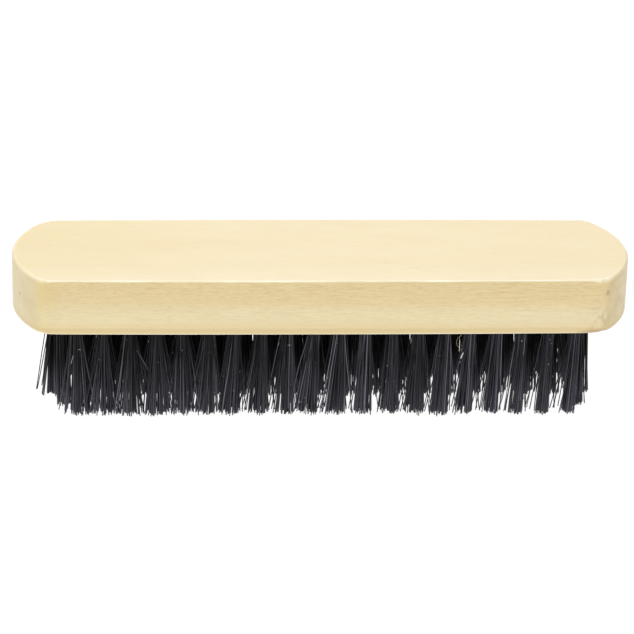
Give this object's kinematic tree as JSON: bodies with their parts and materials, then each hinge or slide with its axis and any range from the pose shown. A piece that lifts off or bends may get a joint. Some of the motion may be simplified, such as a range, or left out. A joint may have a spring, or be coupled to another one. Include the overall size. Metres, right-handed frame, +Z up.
{
  "type": "clothes brush",
  "caption": "Flat wooden block with bowed ends and dark bristle tufts held in drilled holes, for brushing lint and dust off clothes.",
  "frame": {"origin": "centre of the brush at the plane of its bristle tips", "axes": "+X along the length of the block, towards its right end; +Y towards the rear long side; +Z up through the bristles to the wooden back"},
  "size_m": [0.165, 0.0434, 0.0424],
  "materials": {
    "wood": "smooth sanded pale wood, bare or with a thin matt seal",
    "bristle": "near-black synthetic filament with a soft sheen",
    "anchor_metal": "plain flat steel wire"
  },
  "bodies": {
    "root": {"wooden_block": "wood", "front_tuft_01": "bristle", "front_tuft_02": "bristle", "front_tuft_03": "bristle", "front_tuft_04": "bristle", "front_tuft_05": "bristle", "front_tuft_06": "bristle", "front_tuft_07": "bristle", "front_tuft_08": "bristle", "front_tuft_09": "bristle", "front_tuft_10": "bristle", "front_tuft_11": "bristle", "front_tuft_12": "bristle", "front_tuft_13": "bristle", "front_tuft_14": "bristle", "front_tuft_15": "bristle", "front_tuft_16": "bristle", "front_tuft_17": "bristle", "front_tuft_18": "bristle", "front_tuft_19": "bristle", "front_tuft_20": "bristle", "rear_tuft_01": "bristle", "rear_tuft_02": "bristle", "rear_tuft_03": "bristle", "rear_tuft_04": "bristle", "rear_tuft_05": "bristle", "rear_tuft_06": "bristle", "rear_tuft_07": "bristle", "rear_tuft_08": "bristle", "rear_tuft_09": "bristle", "rear_tuft_10": "bristle", "rear_tuft_11": "bristle", "rear_tuft_12": "bristle", "rear_tuft_13": "bristle", "rear_tuft_14": "bristle", "rear_tuft_15": "bristle", "rear_tuft_16": "bristle", "rear_tuft_17": "bristle", "rear_tuft_18": "bristle", "rear_tuft_19": "bristle", "rear_tuft_20": "bristle", "middle_row_tufts": "bristle", "left_end_front_tuft": "bristle", "left_end_middle_tuft": "bristle", "left_end_rear_tuft": "bristle", "right_end_front_tuft": "bristle", "right_end_middle_tuft": "bristle", "right_end_rear_tuft": "bristle", "front_row_anchors": "anchor_metal", "middle_row_anchors": "anchor_metal", "rear_row_anchors": "anchor_metal", "left_end_anchors": "anchor_metal", "right_end_anchors": "anchor_metal"}
  },
  "joints": []
}
